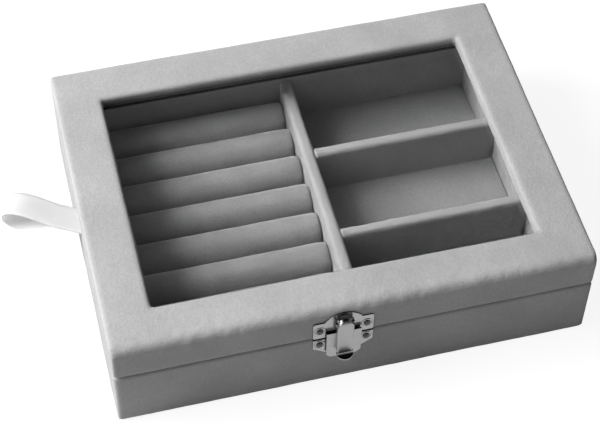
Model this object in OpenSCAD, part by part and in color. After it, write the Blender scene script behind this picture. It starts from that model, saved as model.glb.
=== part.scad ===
// Ring display box: a velvet-wrapped board case with a glazed lid. Eight soft ring
// rolls fill the left half, three open bays the right. Two butt hinges carry the
// lid at the back, a swinging tongue latches it at the front, and a ribbon on the
// left side stays it. The origin is the middle of the underside, the front is -Y.

/* [Box] */
// Width of the box, side to side
box_w = 200; // [180:1:240]
// Depth of the box, front to back
box_d = 150; // [135:1:180]
// Height of the base, from its underside to its rim
base_h = 31.2; // [30:0.1:40]
// Height of the lid, from its rim to its top
lid_h = 17; // [16.5:0.1:22]
// Gap between the rims of the closed box
seam_gap = 0.8; // [0.8:0.05:1.2]
// Thickness of the wrapped outer walls
wall_t = 5; // [4.5:0.1:6.5]
// Radius of the upright corners and of the lid's top edges at the sides and back
edge_r = 1.4; // [1:0.1:2.5]
// Radius of the lid's top edge at the front, where it is lifted
front_r = 4; // [2.5:0.1:4.5]
// Radius of the edge round the underside
foot_r = 1.5; // [0.8:0.1:2.5]
// Radius of the wrapped edges at the seam
rim_r = 0.8; // [0.4:0.1:1.5]

/* [Lid window] */
// Thickness of the lid's top panel
panel_t = 5; // [4:0.1:6]
// Width of the frame at the two sides of the window
frame_side_w = 20; // [15:0.5:30]
// Width of the frame in front of and behind the window
frame_front_w = 19; // [15:0.5:30]
// Size of the soft edge round the window
window_soft = 1.2; // [0.6:0.1:2]
// Thickness of the glass pane
pane_t = 2; // [1.5:0.1:2.5]
// Width of the pane's edge that the frame hides
pane_lap = 4; // [2:0.5:6]
// Thickness of the lip that holds the pane from below
lip_t = 2; // [1.2:0.1:2.5]

/* [Inside of the base] */
// Thickness of the bottom board
board_t = 3; // [2:0.1:4]
// Thickness of the wrapped liners along the walls
liner_t = 3.5; // [2.5:0.1:4.5]
// Distance of the liners' tops below the rim
liner_drop = 0.6; // [0.3:0.1:2]
// Thickness of the long divider between rolls and bays
divider_t = 5.5; // [4:0.1:7]
// Distance of the long divider from the middle, to the right
divider_x = 4; // [-10:0.5:15]
// Thickness of the two cross dividers
cross_t = 4; // [3:0.1:6]
// Distance of the dividers' tops below the rim
divider_drop = 3; // [2:0.1:5]
// Thickness of the wrapped cards on the floor of the bays
card_t = 1.2; // [0.8:0.1:2]
// Thickness of the board under the ring rolls
bed_t = 3.2; // [2:0.1:4]
// Height of a ring roll
roll_h = 15; // [13.5:0.1:18]
// Slit between two ring rolls
roll_slit = 0.2; // [0.1:0.05:0.4]
// Room in front of the first roll and behind the last
roll_margin = 0.5; // [0.4:0.1:4]
// Radius of the turned-in ends of the rolls
roll_end_r = 1.5; // [1:0.1:4]

/* [Hinges] */
// Length of a hinge along its pin
hinge_l = 20; // [16:0.5:30]
// Distance of each hinge from the middle
hinge_x = 55; // [40:1:65]
// Height of a leaf, from the pin to its free edge
leaf_h = 10; // [9:0.1:12]
// Thickness of a leaf
leaf_t = 0.8; // [0.6:0.05:1]
// Radius of the hinge pin
hinge_pin_r = 0.8; // [0.6:0.05:0.9]
// Outer radius of the knuckles
knuckle_r = 1.8; // [1.6:0.05:2]

/* [Latch] */
// Distance of the latch from the middle, negative to the left
latch_x = -6.6; // [-15:0.1:15]
// Width of the two latch plates
latch_w = 25; // [23:0.1:30]
// Thickness of the latch plates
plate_t = 0.6; // [0.5:0.05:0.8]
// Height of the lid plate's ears above its lower edge
ear_h = 9.9; // [9:0.1:11]
// Rise of the arched top above the ears
arch_rise = 4.6; // [4:0.1:5]
// Width of the arched top
arch_w = 15.6; // [14:0.1:18]
// Height of the base plate at its sides
base_side_h = 5.5; // [5:0.1:7]
// Height of the base plate down to its waist
base_waist_h = 9.2; // [8.5:0.1:10]
// Height of the base plate in its middle
base_foot_h = 10.4; // [10.2:0.1:11]
// Width of the ridge down the tongue, below the hood
ridge_w = 7; // [6.6:0.1:7.4]
// Width of the ridge at the lip
ridge_low_w = 6.2; // [5.9:0.1:6.6]
// Width of the tongue's flange
flange_w = 14.4; // [12.5:0.1:15.5]
// Length of the tongue, from its pin to the top of its lip
tongue_l = 19; // [18:0.1:20]
// Length of the flange below the lip
flange_drop = 3.7; // [2.5:0.1:4.5]
// Thickness of the tongue's metal
tongue_t = 0.7; // [0.6:0.05:0.8]
// Radius of the hood round the pin
hood_r = 2.3; // [2.2:0.05:2.3]
// Length of the hood below the pin
hood_l = 2.6; // [2.2:0.1:3]
// Distance that the round lip stands out from the ridge
lip_out = 3; // [2.6:0.1:4]
// Inside radius of the bend into the lip
lip_r = 0.9; // [0.6:0.1:1.2]
// Radius of the latch pin
latch_pin_r = 0.6; // [0.5:0.05:0.65]
// Radius of the catch knob on the base
knob_r = 1.9; // [1.6:0.1:2.1]

/* [Nails] */
// Radius of the domed nail heads
nail_head_r = 1.5; // [1.2:0.05:1.7]
// Height of the nail heads
nail_head_h = 0.85; // [0.5:0.05:0.9]
// Radius of the nail shanks
nail_r = 0.5; // [0.4:0.05:0.6]
// Length of the nails in the board
nail_l = 4; // [3:0.1:4.3]

/* [Ribbon] */
// Width of the ribbon
ribbon_w = 12; // [9:0.5:16]
// Length of the loop outside the wall
ribbon_out = 32; // [24:0.5:40]
// Length of the ribbon that lies in the seam
ribbon_in = 6; // [4:0.1:7]
// Distance behind the middle where the ribbon leaves the wall
ribbon_y = 7.5; // [0:0.5:20]
// Angle by which the loop leans to the back
ribbon_turn = 27.7; // [0:0.1:35]
// Height of the loop's open eye
ribbon_eye = 7.4; // [4:0.1:9]
// Length of the loop's open eye
ribbon_eye_l = 23; // [15:0.5:24]
// Thickness of the ribbon
ribbon_t = 0.24; // [0.15:0.01:0.28]

/* [Hidden] */
$fn = 64;
// Slack of boards and cards that are glued in side by side
glue_fit = 0.1;
// Slack between the liners and the walls, which takes the turned velvet
wrap_fit = 0.3;
// Radial clearance of a pin that turns in its bore
run_fit = 0.05;
// Slack of parts that swing past each other
swing_fit = 0.2;
// Radial slack of a driven nail or a riveted pin
drive_fit = 0.02;
// Length by which a cutting shape runs past a face
past = 1;

lid_z = base_h + seam_gap;
seam_z = base_h + seam_gap / 2;
box_h = lid_z + lid_h;
in_w = box_w - 2 * wall_t;
in_d = box_d - 2 * wall_t;

window_w = box_w - 2 * frame_side_w;
window_d = box_d - 2 * frame_front_w;
panel_z = box_h - panel_t;

liner_x = in_w / 2 - wrap_fit - liner_t;
liner_y = in_d / 2 - wrap_fit - liner_t;
liner_top = base_h - liner_drop;
divider_top = base_h - divider_drop;
bay_x0 = divider_x + divider_t / 2;
bay_w = liner_x - bay_x0;
bay_d = (2 * liner_y - 2 * cross_t) / 3;
rolls_x1 = divider_x - divider_t / 2;

roll_count = 8;
roll_pitch = 2 * (liner_y - roll_margin) / roll_count;
roll_w = roll_pitch - roll_slit;
roll_z = board_t + bed_t;

pivot_w = knuckle_r + leaf_t / 2;
knuckle_count = 5;
knuckle_l = hinge_l / knuckle_count;
pin_head_r = hinge_pin_r + 0.5;
pin_head_t = 0.6;
leaf_nail_u = hinge_l / 2 - 3.5;
leaf_nail_v = leaf_h - 3.5;

latch_corner_r = 1;
lid_plate_z = lid_z + 0.3;
base_plate_z = base_h - 0.2;
ear_top = lid_plate_z + ear_h;
tongue_z = ear_top + 0.4;
tongue_w = hood_r + 0.1;
hood_front = tongue_w + hood_r;
hood_step = 0.5;
hood_back = 0.4;
ridge_front = hood_front - hood_step;
ridge_soft = 0.9;
lip_z = tongue_z - tongue_l;
flange_low = lip_z - flange_drop;
flange_back = plate_t + 0.8;
channel_w = ridge_low_w - 2 * tongue_t;
arch_hole_w = ridge_w + 1.4;
slot_z = lid_plate_z + 3.3;
slot_h = 3;
knuckle_w = channel_w - 2 * swing_fit;
curl_t = 0.55;
curl_lean = 30;
lid_nail_z = lid_plate_z + 5;
base_nail_z = base_plate_z - 2.9;
nail_u = latch_w / 2 - 2.8;
nail_ring_r = nail_head_r + 0.7;
nail_ring_t = 0.3;
knob_z = base_plate_z - 4;
knob_head_t = 0.8;

velvet = "#b4b4b4";
velvet_inside = "#8a8a8a";
nickel = "#c8cacc";

// Side view of a wrapped board or box: its lower and upper corners are round
module soft_profile(width, height, low_r, high_r) {
    translate([-width / 2, low_r]) square([width, height - low_r - high_r]);
    translate([-width / 2 + low_r, 0]) square([width - 2 * low_r, height / 2]);
    translate([-width / 2 + high_r, height / 2]) square([width - 2 * high_r, height / 2]);
    for (side = [-1, 1]) {
        translate([side * (width / 2 - low_r), low_r]) circle(low_r);
        translate([side * (width / 2 - high_r), height - high_r]) circle(high_r);
    }
}

// The same, with the upper corner at the front, here on the left, cut to a larger radius
module lifted_profile(depth, height, low_r, high_r, front_corner_r) {
    difference() {
        soft_profile(depth, height, low_r, high_r);
        if (front_corner_r > high_r)
            translate([front_corner_r - depth / 2, height - front_corner_r]) difference() {
                translate([-front_corner_r - past, 0]) square(front_corner_r + past);
                circle(front_corner_r);
            }
    }
}

// A box whose corners, lower edges and upper edges are each rounded
module soft_box(width, depth, height, low_r, high_r, front_corner_r) {
    intersection() {
        linear_extrude(height) translate([0, -depth / 2]) soft_profile(width, depth, edge_r, edge_r);
        translate([0, depth / 2, 0]) rotate([90, 0, 0])
            linear_extrude(depth) soft_profile(width, height, low_r, high_r);
        translate([-width / 2, 0, 0]) rotate([90, 0, 90])
            linear_extrude(width) lifted_profile(depth, height, low_r, high_r, front_corner_r);
    }
}

// A board that stands on edge along Y, with a full round along its top
module wrapped_board(thick, length, height) {
    translate([0, length / 2, 0]) rotate([90, 0, 0]) linear_extrude(length) {
        translate([-thick / 2, 0]) square([thick, height - thick / 2]);
        translate([0, height - thick / 2]) circle(thick / 2);
    }
}

// A block that is centred on X and Y
module plate(width, depth, height) {
    translate([-width / 2, -depth / 2, 0]) cube([width, depth, height]);
}

// Puts a shape on the front wall: its X is along the wall, its Y up, its Z outwards
module on_front(x) {
    translate([x, -box_d / 2, 0]) rotate([90, 0, 0]) children();
}

// Puts a shape on the back wall: its X is along the wall, its Y up, its Z outwards
module on_back(x) {
    translate([x, box_d / 2, 0]) rotate([90, 0, 180]) children();
}

// Bores in a wall for a pair of nails, one on each side of the middle
module nail_bores(u, v) {
    for (side = [-1, 1])
        translate([side * u, v, -nail_l - drive_fit]) cylinder(h = nail_l + past, r = nail_r + drive_fit);
}

// A pair of nails with domed heads that stand on a plate
module nail_pair(u, v, seat) {
    ball_r = (nail_head_r * nail_head_r + nail_head_h * nail_head_h) / (2 * nail_head_h);
    for (side = [-1, 1]) translate([side * u, v, 0]) {
        translate([0, 0, -nail_l]) cylinder(h = nail_l + seat, r = nail_r);
        intersection() {
            translate([0, 0, seat + nail_head_h - ball_r]) sphere(ball_r);
            translate([0, 0, seat]) cylinder(h = nail_head_h, r = nail_head_r);
        }
    }
}

// Base

module base_walls() {
    color(velvet) difference() {
        soft_box(box_w, box_d, base_h, foot_r, rim_r, rim_r);
        translate([0, 0, -past]) plate(in_w, in_d, base_h + 2 * past);
        for (x = [-hinge_x, hinge_x]) on_back(x) nail_bores(leaf_nail_u, seam_z - leaf_nail_v);
        on_front(latch_x) nail_bores(nail_u, base_nail_z);
    }
}

module bottom_board() {
    color(velvet) plate(in_w - 2 * glue_fit, in_d - 2 * glue_fit, board_t);
}

// A liner along the front or back wall
module long_liner(side) {
    color(velvet_inside) translate([0, side * (liner_y + liner_t / 2), board_t]) rotate([0, 0, 90])
        wrapped_board(liner_t, in_w - 2 * wrap_fit, liner_top - board_t);
}

// A liner along the left or right wall, between the other two
module short_liner(side) {
    color(velvet_inside) translate([side * (liner_x + liner_t / 2), 0, board_t])
        wrapped_board(liner_t, 2 * (liner_y - glue_fit), liner_top - board_t);
}

module long_divider() {
    color(velvet_inside) translate([divider_x, 0, board_t])
        wrapped_board(divider_t, 2 * (liner_y - glue_fit), divider_top - board_t);
}

// A board between two bays; side is 1 for the rear one, -1 for the front one
module cross_divider(side) {
    color(velvet_inside) translate([bay_x0 + bay_w / 2, side * (bay_d + cross_t) / 2, board_t])
        rotate([0, 0, 90]) wrapped_board(cross_t, bay_w - 2 * glue_fit, divider_top - board_t);
}

// The floor card of a bay; row is 1 at the rear, 0 in the middle and -1 in front
module bay_card(row) {
    color(velvet_inside) translate([bay_x0 + bay_w / 2, row * (bay_d + cross_t), board_t])
        plate(bay_w - 2 * glue_fit, bay_d - 2 * glue_fit, card_t);
}

module roll_bed() {
    color(velvet_inside) translate([(rolls_x1 - liner_x) / 2, 0, board_t])
        plate(rolls_x1 + liner_x - 2 * glue_fit, 2 * (liner_y - glue_fit), bed_t);
}

// A ring roll: a domed bar with turned-in ends; the first lies at the back
module ring_roll(place) {
    length = rolls_x1 + liner_x - 2 * wrap_fit;
    color(velvet_inside) translate([(rolls_x1 - liner_x) / 2, liner_y - roll_margin - (place - 0.5) * roll_pitch, roll_z])
        intersection() {
            translate([-length / 2, 0, 0]) rotate([90, 0, 90]) linear_extrude(length) {
                translate([-roll_w / 2, 0]) square([roll_w, roll_h - roll_w / 2]);
                translate([0, roll_h - roll_w / 2]) circle(roll_w / 2);
            }
            translate([0, roll_w / 2, 0]) rotate([90, 0, 0])
                linear_extrude(roll_w) soft_profile(length, roll_h, 0.5, roll_end_r);
        }
}

// Lid

// One step of the soft window edge, from depth 1 to depth 2 below the top face
module window_step(angle1, angle2) {
    hull() for (angle = [angle1, angle2]) {
        grow = 2 * window_soft * (1 - cos(angle));
        translate([0, 0, box_h - window_soft * (1 - sin(angle))])
            plate(window_w + grow, window_d + grow, 0.01);
    }
}

module lid_frame() {
    color(velvet) difference() {
        translate([0, 0, lid_z]) soft_box(box_w, box_d, lid_h, rim_r, edge_r, front_r);
        translate([0, 0, lid_z - past]) plate(in_w, in_d, lid_h - panel_t + past);
        translate([0, 0, panel_z - past]) plate(window_w, window_d, panel_t + 2 * past);
        window_step(0, 30);
        window_step(30, 60);
        window_step(60, 90);
        for (x = [-hinge_x, hinge_x]) on_back(x) nail_bores(leaf_nail_u, seam_z + leaf_nail_v);
        on_front(latch_x) nail_bores(nail_u, lid_nail_z);
    }
}

module glass_pane() {
    color("lightblue", 0.3) translate([0, 0, panel_z - pane_t])
        plate(window_w + 2 * pane_lap, window_d + 2 * pane_lap, pane_t);
}

module pane_retainer() {
    color(velvet_inside) difference() {
        translate([0, 0, panel_z - pane_t - lip_t])
            plate(in_w - 2 * glue_fit, in_d - 2 * glue_fit, pane_t + lip_t);
        translate([0, 0, panel_z - pane_t])
            plate(window_w + 2 * (pane_lap + glue_fit), window_d + 2 * (pane_lap + glue_fit), pane_t + past);
        translate([0, 0, panel_z - pane_t - lip_t - past]) plate(window_w, window_d, pane_t + lip_t + 2 * past);
    }
}

// Hinges

// One leaf; up is -1 for the base leaf and 1 for the lid leaf, which has the knuckles between
module hinge_leaf(x, up) {
    first = up < 0 ? 0 : 1;
    free_edge = knuckle_r + swing_fit;
    color(nickel) on_back(x) difference() {
        union() {
            translate([-hinge_l / 2, up < 0 ? seam_z - leaf_h : seam_z + free_edge, 0])
                cube([hinge_l, leaf_h - free_edge, leaf_t]);
            for (i = [first:2:knuckle_count - 1]) {
                low = i == 0 ? 0 : swing_fit / 2;
                high = i == knuckle_count - 1 ? 0 : swing_fit / 2;
                translate([-hinge_l / 2 + i * knuckle_l + low, 0, 0]) {
                    translate([0, seam_z, pivot_w]) rotate([0, 90, 0])
                        cylinder(h = knuckle_l - low - high, r = knuckle_r);
                    translate([0, up < 0 ? seam_z - free_edge : seam_z, 0])
                        cube([knuckle_l - low - high, free_edge, leaf_t]);
                }
            }
        }
        translate([-hinge_l / 2 - past, seam_z, pivot_w]) rotate([0, 90, 0])
            cylinder(h = hinge_l + 2 * past, r = hinge_pin_r + run_fit);
        for (side = [-1, 1]) translate([side * leaf_nail_u, seam_z + up * leaf_nail_v, -past])
            cylinder(h = leaf_t + 2 * past, r = nail_r + drive_fit);
    }
}

module hinge_pin(x) {
    color(nickel) on_back(x) translate([0, seam_z, pivot_w]) rotate([0, 90, 0]) {
        translate([0, 0, -hinge_l / 2 - pin_head_t]) cylinder(h = hinge_l + 2 * pin_head_t, r = hinge_pin_r);
        for (side = [-1, 1])
            translate([0, 0, side * (hinge_l + pin_head_t) / 2 - pin_head_t / 2])
                cylinder(h = pin_head_t, r = pin_head_r);
    }
}

module hinge_nails(up) {
    color(nickel) for (x = [-hinge_x, hinge_x])
        on_back(x) nail_pair(leaf_nail_u, seam_z + up * leaf_nail_v, leaf_t);
}

// Latch

// A flat outline with rounded corners, from one height to another
module rounded_band(width, low, high, r) {
    translate([0, low]) soft_profile(width, high - low, r, r);
}

// A round bead pressed up round a nail
module nail_bead(v) {
    for (side = [-1, 1]) translate([side * nail_u, v, plate_t])
        rotate_extrude() translate([nail_ring_r, 0]) circle(nail_ring_t);
}

// The opening round the hood, with a slot on each side and a strap left between them
module lid_plate_opening() {
    difference() {
        union() {
            translate([0, tongue_z - hood_l / 2]) circle(arch_hole_w / 2);
            translate([-arch_hole_w / 2, slot_z + slot_h / 2])
                square([arch_hole_w, tongue_z - hood_l / 2 - slot_z - slot_h / 2]);
            translate([0.2 - flange_w / 2, slot_z]) square([flange_w - 0.4, slot_h]);
        }
        translate([-knuckle_w / 2, slot_z - past])
            square([knuckle_w, tongue_z - tongue_w / tan(curl_lean) + curl_t - slot_z + past]);
    }
}

// The strap that is bent out of the opening and curled round the pin
module pin_strap() {
    reach = (tongue_w - plate_t / 2) / sin(curl_lean);
    translate([-knuckle_w / 2, tongue_z, tongue_w]) rotate([0, 90, 0]) linear_extrude(knuckle_w) {
        circle(latch_pin_r + curl_t);
        rotate(180 + curl_lean) translate([-curl_t / 2, 0]) square([curl_t, reach]);
    }
}

module latch_lid_plate() {
    arch_r = (arch_w * arch_w / 4 + arch_rise * arch_rise) / (2 * arch_rise);
    color(nickel) on_front(latch_x) difference() {
        union() {
            linear_extrude(plate_t) difference() {
                union() {
                    rounded_band(latch_w, lid_plate_z, ear_top, latch_corner_r);
                    intersection() {
                        translate([0, ear_top + arch_rise - arch_r]) circle(arch_r);
                        translate([-arch_w / 2, ear_top - past]) square([arch_w, arch_rise + past]);
                    }
                }
                lid_plate_opening();
            }
            nail_bead(lid_nail_z);
            pin_strap();
        }
        translate([-latch_w / 2, tongue_z, tongue_w]) rotate([0, 90, 0])
            cylinder(h = latch_w, r = latch_pin_r + drive_fit);
        for (side = [-1, 1]) translate([side * nail_u, lid_nail_z, -past])
            cylinder(h = plate_t + 2 * past, r = nail_r + drive_fit);
    }
}

// The base plate tapers below its ears; its knob has a neck that the tongue's channel passes
module latch_base_plate() {
    waist_u = flange_w / 2;
    foot_u = ridge_w / 2;
    color(nickel) on_front(latch_x) difference() {
        union() {
            linear_extrude(plate_t) polygon([
                [-latch_w / 2, base_plate_z], [-latch_w / 2, base_plate_z - base_side_h],
                [-waist_u, base_plate_z - base_waist_h], [-foot_u, base_plate_z - base_foot_h],
                [foot_u, base_plate_z - base_foot_h], [waist_u, base_plate_z - base_waist_h],
                [latch_w / 2, base_plate_z - base_side_h], [latch_w / 2, base_plate_z]
            ]);
            nail_bead(base_nail_z);
            translate([0, knob_z, 0]) {
                cylinder(h = flange_back + knob_head_t, r = knob_r - 0.4);
                translate([0, 0, flange_back]) cylinder(h = knob_head_t, r = knob_r);
            }
        }
        for (side = [-1, 1]) translate([side * nail_u, base_nail_z, -past])
            cylinder(h = plate_t + 2 * past, r = nail_r + drive_fit);
    }
}

// The tongue seen along its length: a channel with a soft front
module ridge_outline(front) {
    translate([-ridge_w / 2, flange_back]) square([ridge_w, front - flange_back - ridge_soft]);
    translate([ridge_soft - ridge_w / 2, flange_back])
        square([ridge_w - 2 * ridge_soft, front - flange_back]);
    for (side = [-1, 1]) translate([side * (ridge_w / 2 - ridge_soft), front - ridge_soft]) circle(ridge_soft);
}

// The round of the hood about the pin, with soft shoulders
module hood_barrel() {
    rotate([0, 90, 0]) rotate_extrude() {
        translate([0, -ridge_w / 2]) square([hood_r - ridge_soft, ridge_w]);
        translate([0, ridge_soft - ridge_w / 2]) square([hood_r, ridge_w - 2 * ridge_soft]);
        for (side = [-1, 1])
            translate([hood_r - ridge_soft, side * (ridge_w / 2 - ridge_soft)]) circle(ridge_soft);
    }
}

// The hood: the barrel and the channel below it, with a round top seen from the front
module hood() {
    arch_z = tongue_z + hood_r - ridge_w / 2;
    intersection() {
        union() {
            translate([0, tongue_z, tongue_w]) hood_barrel();
            translate([0, tongue_z, 0]) rotate([90, 0, 0]) linear_extrude(hood_l) ridge_outline(hood_front);
        }
        linear_extrude(hood_front + past) {
            translate([0, arch_z]) circle(ridge_w / 2);
            translate([-ridge_w / 2, tongue_z - hood_l - past])
                square([ridge_w, arch_z - tongue_z + hood_l + past]);
        }
    }
}

// The ridge from the hood to the lip, a little narrower at the lip
module ridge() {
    run = tongue_l - lip_r;
    intersection() {
        translate([0, tongue_z, 0]) rotate([90, 0, 0]) linear_extrude(run) ridge_outline(ridge_front);
        linear_extrude(hood_front) polygon([
            [-ridge_low_w / 2, tongue_z - run - past], [-ridge_w / 2, tongue_z],
            [ridge_w / 2, tongue_z], [ridge_low_w / 2, tongue_z - run - past]
        ]);
    }
}

// The lip: the ridge's front wall bends out to a flat tab with a round end
module tongue_lip() {
    bend_w = ridge_front + lip_r;
    round_w = ridge_front + lip_out - ridge_w / 2;
    intersection() {
        translate([-ridge_w / 2, lip_z + lip_r, bend_w]) rotate([0, 90, 0]) linear_extrude(ridge_w) {
            intersection() {
                difference() {
                    circle(lip_r + tongue_t);
                    circle(lip_r);
                }
                translate([0, -lip_r - tongue_t]) square(lip_r + tongue_t);
            }
            translate([lip_r - lip_out, -lip_r - tongue_t]) square([lip_out - lip_r, tongue_t]);
        }
        translate([0, lip_z + lip_r, 0]) rotate([90, 0, 0]) linear_extrude(lip_r + 2 * tongue_t) {
            translate([0, round_w]) circle(ridge_w / 2);
            translate([-ridge_w / 2, 0]) square([ridge_w, round_w]);
        }
    }
}

module latch_tongue() {
    corner = 1.8;
    color(nickel) on_front(latch_x) difference() {
        union() {
            hood();
            ridge();
            tongue_lip();
            // flange
            translate([0, 0, flange_back]) linear_extrude(tongue_t) polygon([
                [-flange_w / 2, slot_z + 0.5], [-flange_w / 2, flange_low + corner],
                [corner - flange_w / 2, flange_low], [flange_w / 2 - corner, flange_low],
                [flange_w / 2, flange_low + corner], [flange_w / 2, slot_z + 0.5]
            ]);
        }
        // hollow of the hood
        translate([-channel_w / 2, tongue_z, tongue_w]) rotate([0, 90, 0])
            cylinder(h = channel_w, r = hood_r - tongue_t);
        translate([-channel_w / 2, tongue_z - past, -past])
            cube([channel_w, hood_r + 2 * past, tongue_w - hood_back + past]);
        // channel, open at the low end, that runs over the catch knob
        translate([-channel_w / 2, flange_low - past, -past])
            cube([channel_w, tongue_z - flange_low + past, ridge_front - tongue_t + past]);
        translate([-latch_w / 2, tongue_z, tongue_w]) rotate([0, 90, 0])
            cylinder(h = latch_w, r = latch_pin_r + run_fit);
    }
}

// The pin is riveted over both sides of the hood
module latch_pin() {
    reach = ridge_w / 2 + run_fit;
    head_t = 0.3;
    color(nickel) on_front(latch_x) translate([0, tongue_z, tongue_w]) rotate([0, 90, 0]) {
        translate([0, 0, -reach - head_t]) cylinder(h = 2 * (reach + head_t), r = latch_pin_r);
        for (side = [-1, 1])
            translate([0, 0, side * (reach + head_t / 2) - head_t / 2]) cylinder(h = head_t, r = latch_pin_r + 0.3);
    }
}

module latch_nails(v) {
    color(nickel) on_front(latch_x) nail_pair(nail_u, v, plate_t);
}

// Ribbon

// Half height of the loop at a place along it: flat by the wall, then an eye with a round tip
ribbon_flat = ribbon_out - ribbon_eye_l;
ribbon_half_gap = seam_gap / 4;
function eye_s(a) = ribbon_flat + ribbon_eye_l * (1 - cos(a)) / 2;
function eye_h(a) = ribbon_half_gap + 0.77 * ribbon_eye * sin(a) * (1 - cos(a)) / 2;
ribbon_steps = 14;
ribbon_lower = [
    for (s = [-ribbon_in, 0]) [s, -ribbon_half_gap],
    for (i = [0:ribbon_steps]) [eye_s(i * 180 / ribbon_steps), -eye_h(i * 180 / ribbon_steps)]
];

module stay_ribbon() {
    count = len(ribbon_lower);
    // middle line of the strip, out along the lower layer and back along the upper one
    line = concat(ribbon_lower, [for (i = [count - 1:-1:0]) [ribbon_lower[i][0], -ribbon_lower[i][1]]]);
    last = len(line) - 1;
    function side_step(i) = let (
        a = line[max(i - 1, 0)],
        b = line[min(i + 1, last)],
        d = (b - a) / norm(b - a)
    ) [-d[1], d[0]] * ribbon_t / 2;
    points = [for (i = [0:last]) each [
        let (p = line[i] + side_step(i)) [p[0], -ribbon_w / 2, p[1]],
        let (p = line[i] + side_step(i)) [p[0], ribbon_w / 2, p[1]],
        let (p = line[i] - side_step(i)) [p[0], ribbon_w / 2, p[1]],
        let (p = line[i] - side_step(i)) [p[0], -ribbon_w / 2, p[1]]
    ]];
    faces = concat(
        [[0, 1, 2], [0, 2, 3]],
        [for (i = [0:last - 1], k = [0:3]) let (a = 4 * i + k, b = 4 * i + (k + 1) % 4) each [[a, a + 4, b + 4], [a, b + 4, b]]],
        [[4 * last + 2, 4 * last + 1, 4 * last], [4 * last + 3, 4 * last + 2, 4 * last]]
    );
    color("white") translate([-box_w / 2, ribbon_y, seam_z]) rotate([0, 0, 180 - ribbon_turn])
        polyhedron(points, faces);
}

base_walls();
bottom_board();
long_liner(-1);  // front_liner
long_liner(1);  // back_liner
short_liner(-1);  // left_liner
short_liner(1);  // right_liner
long_divider();
cross_divider(1);  // rear_cross_divider
cross_divider(-1);  // front_cross_divider
bay_card(1);  // rear_bay_card
bay_card(0);  // middle_bay_card
bay_card(-1);  // front_bay_card
roll_bed();
for (i = [1:roll_count]) ring_roll(i);
lid_frame();
glass_pane();
pane_retainer();
hinge_leaf(-hinge_x, -1);  // left_hinge_base_leaf
hinge_leaf(-hinge_x, 1);  // left_hinge_lid_leaf
hinge_pin(-hinge_x);  // left_hinge_pin
hinge_leaf(hinge_x, -1);  // right_hinge_base_leaf
hinge_leaf(hinge_x, 1);  // right_hinge_lid_leaf
hinge_pin(hinge_x);  // right_hinge_pin
hinge_nails(-1);  // base_hinge_nails
hinge_nails(1);  // lid_hinge_nails
latch_lid_plate();
latch_base_plate();
latch_tongue();
latch_pin();
latch_nails(base_nail_z);  // base_latch_nails
latch_nails(lid_nail_z);  // lid_latch_nails
stay_ribbon();
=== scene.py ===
"""Looks of a velvet-wrapped ring display box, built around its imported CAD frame.

Lengths are in metres: +X is the right side, -Y the front with the latch, +Z up.
Each sub-assembly is a class that builds its meshes inside its CAD nodes and dresses them.
"""

import logging
import math
from collections.abc import Callable, Iterable, Sequence
from dataclasses import dataclass
from enum import Enum

import bpy
from mathutils import Euler, Matrix, Vector


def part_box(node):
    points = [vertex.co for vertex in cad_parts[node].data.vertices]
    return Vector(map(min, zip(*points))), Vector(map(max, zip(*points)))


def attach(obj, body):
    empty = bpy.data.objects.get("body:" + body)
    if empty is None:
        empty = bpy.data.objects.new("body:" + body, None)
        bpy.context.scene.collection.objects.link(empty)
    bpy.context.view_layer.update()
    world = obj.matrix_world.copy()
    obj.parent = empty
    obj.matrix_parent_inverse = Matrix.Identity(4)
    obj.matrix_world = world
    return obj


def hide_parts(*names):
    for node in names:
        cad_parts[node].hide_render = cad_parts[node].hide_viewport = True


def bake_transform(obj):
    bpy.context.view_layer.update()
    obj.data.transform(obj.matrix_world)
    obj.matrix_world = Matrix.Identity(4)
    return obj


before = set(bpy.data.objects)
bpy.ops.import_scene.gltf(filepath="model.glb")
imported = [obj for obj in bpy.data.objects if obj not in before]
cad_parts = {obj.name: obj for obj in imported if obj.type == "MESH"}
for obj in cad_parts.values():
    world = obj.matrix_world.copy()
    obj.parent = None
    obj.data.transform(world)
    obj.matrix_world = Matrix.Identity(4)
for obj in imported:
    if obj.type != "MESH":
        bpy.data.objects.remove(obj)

log = logging.getLogger("ring_box")

MM = 0.001
# Mesh attributes that mark where light is painted: painted shade round the lid's window, a painted
# highlight on board tops.
SHADE_ATTRIBUTE = "reveal_shade"
HIGHLIGHT_ATTRIBUTE = "painted_highlight"

# Nearly all of a noise texture's values lie between these two.
NOISE_LOW, NOISE_HIGH = 0.3, 0.7
# A wave texture has this many bands in a length of 2 pi.
WAVE_BANDS = 20

EdgeTest = Callable[[Vector, Vector], bool]
Ripples = tuple[tuple[float, float], ...]


class Body(str, Enum):
    """The bodies that new pieces ride on."""

    BASE = "base"
    LID = "lid"


class Slot(str, Enum):
    """The record's material slots, by name."""

    OUTER_VELVET = "outer_velvet"
    LINING_VELVET = "lining_velvet"
    ROLL_VELVET = "roll_velvet"
    SATIN = "satin_ribbon"


# Mesh tools


def focus(piece: bpy.types.Object) -> None:
    """Makes a piece the only selected and active object.

    Args:
        piece: The object that the next operators act on.
    """
    bpy.ops.object.select_all(action="DESELECT")
    piece.select_set(True)
    bpy.context.view_layer.objects.active = piece


def add_block(name: str, low: Vector, high: Vector) -> bpy.types.Object:
    """Adds a cube that fills a box, with its place in its mesh.

    Args:
        name: Name of the piece.
        low: Lowest corner.
        high: Highest corner.

    Returns:
        The new object, at the origin.
    """
    bpy.ops.object.select_all(action="DESELECT")
    bpy.ops.mesh.primitive_cube_add(size=1.0, location=(low + high) / 2)
    block = bpy.context.active_object
    block.name = block.data.name = name
    block.scale = high - low
    bpy.ops.object.transform_apply(location=True, rotation=True, scale=True)
    return block


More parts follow.
